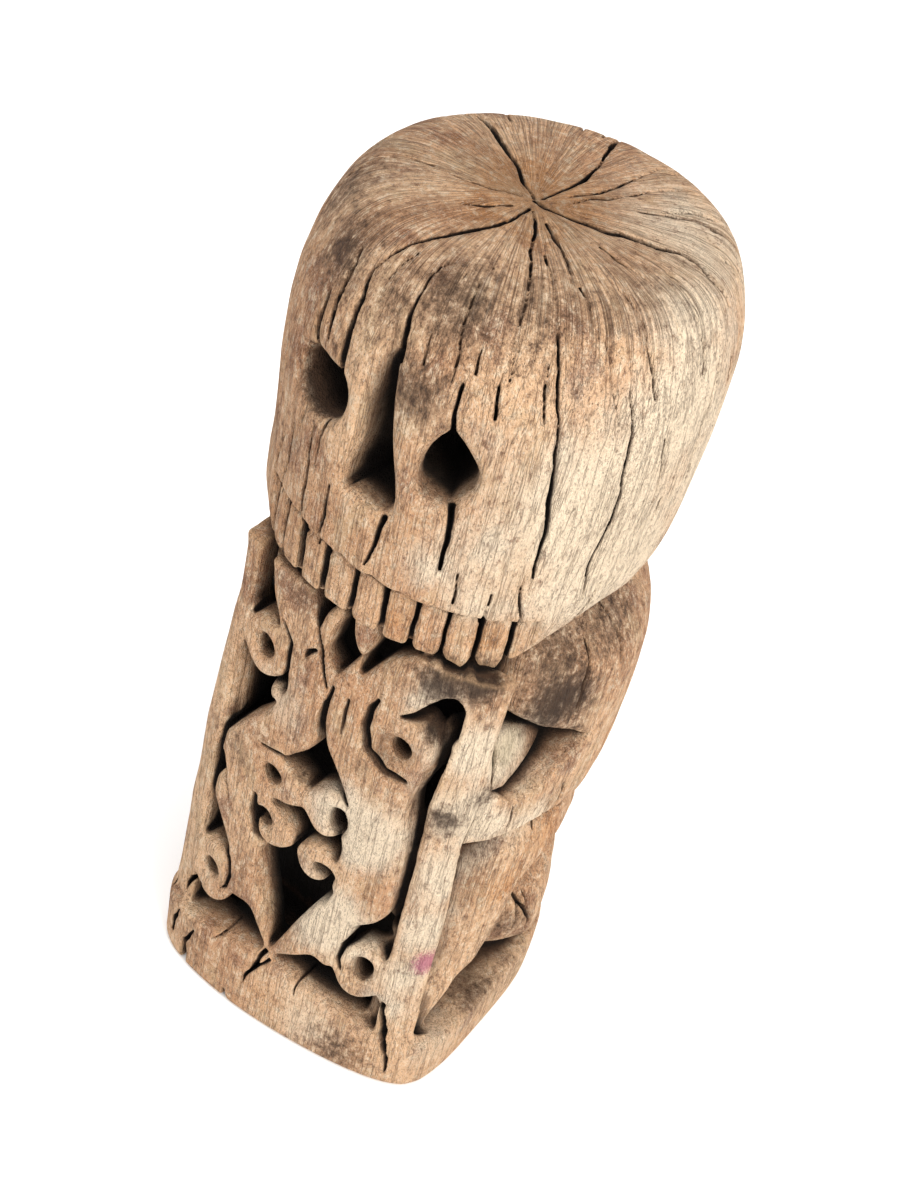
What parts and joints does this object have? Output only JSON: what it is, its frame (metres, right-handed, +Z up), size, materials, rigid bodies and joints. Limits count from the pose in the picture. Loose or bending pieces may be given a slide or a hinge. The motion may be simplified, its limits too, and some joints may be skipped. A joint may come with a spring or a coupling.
{
  "type": "korwar ancestor figure",
  "caption": "Ancestor figure carved in the round from a log: skull-like head with bared teeth above a squatting body that holds an openwork scroll shield, on a block base.",
  "frame": {"origin": "on the underside, where the log's pith meets the surface that the figure stands on", "axes": "+Z up along the log, -Y is the front with the face and the openwork shield, +X is the viewer's right"},
  "size_m": [0.143, 0.1448, 0.36],
  "materials": {
    "weathered_hardwood": "dry, unpolished, weathered and bleached"
  },
  "bodies": {
    "root": {"korwar_figure": "weathered_hardwood"}
  },
  "joints": []
}
